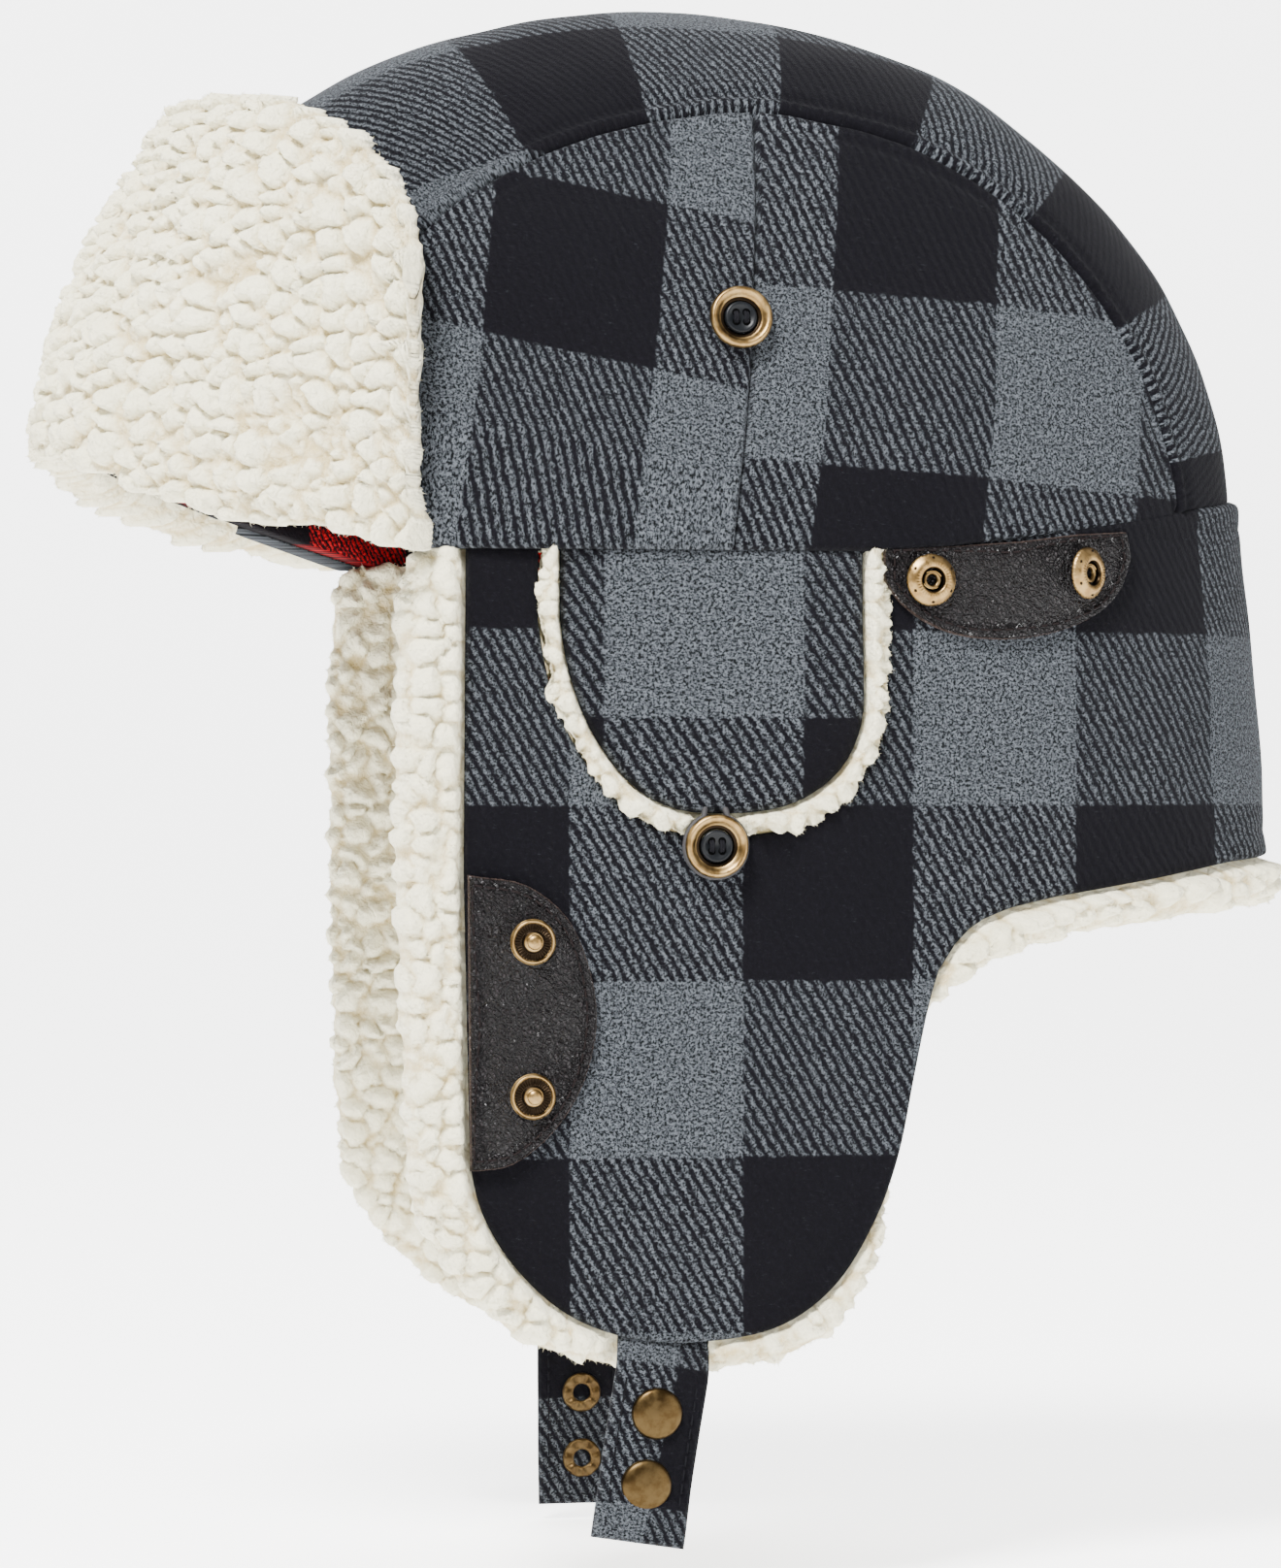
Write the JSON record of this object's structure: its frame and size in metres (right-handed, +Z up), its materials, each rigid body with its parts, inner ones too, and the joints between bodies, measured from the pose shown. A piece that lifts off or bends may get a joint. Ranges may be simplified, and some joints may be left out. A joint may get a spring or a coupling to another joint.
{
  "type": "trapper hat",
  "caption": "Plaid wool trapper hat with sherpa-lined ear flaps, neck flap and turned-up visor, ear port flaps, leather snap patches and snap chin straps.",
  "frame": {"origin": "centre of the head opening, level with the seam between the crown and the ear flaps", "axes": "+X forward to the visor, +Y to the wearer's left, +Z up; the head enters along -Z to +Z"},
  "size_m": [0.3164, 0.1558, 0.3828],
  "materials": {
    "plaid_wool": "brushed wool twill in a three-tone buffalo check of black, charcoal and heather grey, nap slightly raised",
    "sherpa": "cream sherpa fleece of small curled tufts, matte",
    "wadding": "soft polyester quilting wadding",
    "flannel_lining": "brushed cotton flannel in a red and black buffalo check",
    "leather": "dark brown pebbled leather with a worn lighter cut edge",
    "antique_brass": "antiqued brass, polished on the high spots and dark in the hollows",
    "black_button": "glossy black moulded plastic",
    "thread": "black waxed polyester thread",
    "elastic": "round braided black elastic cord"
  },
  "bodies": {
    "root": {"crown_top_panel": "plaid_wool", "crown_left_front_panel": "plaid_wool", "crown_left_rear_panel": "plaid_wool", "crown_right_front_panel": "plaid_wool", "crown_right_rear_panel": "plaid_wool", "crown_wadding": "wadding", "crown_lining": "flannel_lining", "neck_flap_shell": "plaid_wool", "neck_flap_sherpa": "sherpa", "left_rear_patch": "leather", "right_rear_patch": "leather", "left_rear_sockets": "antique_brass", "right_rear_sockets": "antique_brass", "left_crown_button_rim": "antique_brass", "right_crown_button_rim": "antique_brass", "left_crown_button_core": "black_button", "right_crown_button_core": "black_button", "left_crown_button_thread": "thread", "right_crown_button_thread": "thread"},
    "visor": {"visor_backing": "plaid_wool", "visor_sherpa": "sherpa"},
    "visor_left_wing": {"visor_left_wing_backing": "plaid_wool", "visor_left_wing_sherpa": "sherpa"},
    "visor_right_wing": {"visor_right_wing_backing": "plaid_wool", "visor_right_wing_sherpa": "sherpa"},
    "left_earflap": {"left_earflap_shell": "plaid_wool", "left_earflap_sherpa": "sherpa", "left_front_patch": "leather", "left_front_studs": "antique_brass", "left_lower_button_rim": "antique_brass", "left_lower_button_core": "black_button", "left_lower_button_thread": "thread", "left_strap_tab": "plaid_wool"},
    "right_earflap": {"right_earflap_shell": "plaid_wool", "right_earflap_sherpa": "sherpa", "right_front_patch": "leather", "right_front_studs": "antique_brass", "right_lower_button_rim": "antique_brass", "right_lower_button_core": "black_button", "right_lower_button_thread": "thread", "right_strap_tab": "plaid_wool"},
    "left_port_flap": {"left_port_flap_shell": "plaid_wool", "left_port_flap_sherpa": "sherpa", "left_button_loop": "elastic"},
    "right_port_flap": {"right_port_flap_shell": "plaid_wool", "right_port_flap_sherpa": "sherpa", "right_button_loop": "elastic"},
    "left_strap": {"left_strap": "plaid_wool", "left_strap_caps": "antique_brass", "left_strap_sockets": "antique_brass"},
    "right_strap": {"right_strap": "plaid_wool", "right_strap_studs": "antique_brass", "right_strap_eyelets": "antique_brass"}
  },
  "joints": [
    {"name": "visor_fold", "type": "hinge", "parent": "root", "child": "visor", "pos_m": [0.1446, 0, 0.027], "axis": [0, 1, 0], "range_deg": [0, 100]},
    {"name": "visor_left_bend", "type": "hinge", "parent": "visor", "child": "visor_left_wing", "pos_m": [0.15297, 0.03977, 0.02389], "axis": [0.3104, 0.0791, -0.9473], "range_deg": [0, 62]},
    {"name": "visor_right_bend", "type": "hinge", "parent": "visor", "child": "visor_right_wing", "pos_m": [0.15297, -0.03977, 0.02389], "axis": [-0.3104, 0.0791, 0.9473], "range_deg": [0, 62]},
    {"name": "left_earflap_fold", "type": "hinge", "parent": "root", "child": "left_earflap", "pos_m": [-0.00585, 0.0685, -0.05155], "axis": [0.7367, 0, 0.6763], "range_deg": [0, 110]},
    {"name": "right_earflap_fold", "type": "hinge", "parent": "root", "child": "right_earflap", "pos_m": [-0.00585, -0.0685, -0.05155], "axis": [-0.7367, 0, -0.6763], "range_deg": [0, 110]},
    {"name": "left_port_lift", "type": "hinge", "parent": "root", "child": "left_port_flap", "pos_m": [-0.0045, 0.073, -0.001], "axis": [1, 0, 0], "range_deg": [0, 165], "deforming": ["left_button_loop"]},
    {"name": "right_port_lift", "type": "hinge", "parent": "root", "child": "right_port_flap", "pos_m": [-0.0045, -0.073, -0.001], "axis": [-1, 0, 0], "range_deg": [0, 165], "deforming": ["right_button_loop"]},
    {"name": "left_strap_swing", "type": "hinge", "parent": "left_earflap", "child": "left_strap", "pos_m": [0.0085, 0.0685, -0.1998], "axis": [0.9877, 0, 0.1564], "range_deg": [-70, 75]},
    {"name": "right_strap_swing", "type": "hinge", "parent": "right_earflap", "child": "right_strap", "pos_m": [0.003, -0.0685, -0.1998], "axis": [-1, 0, 0], "range_deg": [-70, 75]}
  ],
  "couplings": [
    {"joint": "visor_left_bend", "follows": "visor_fold", "ratio": 0.62},
    {"joint": "visor_right_bend", "follows": "visor_fold", "ratio": 0.62}
  ]
}
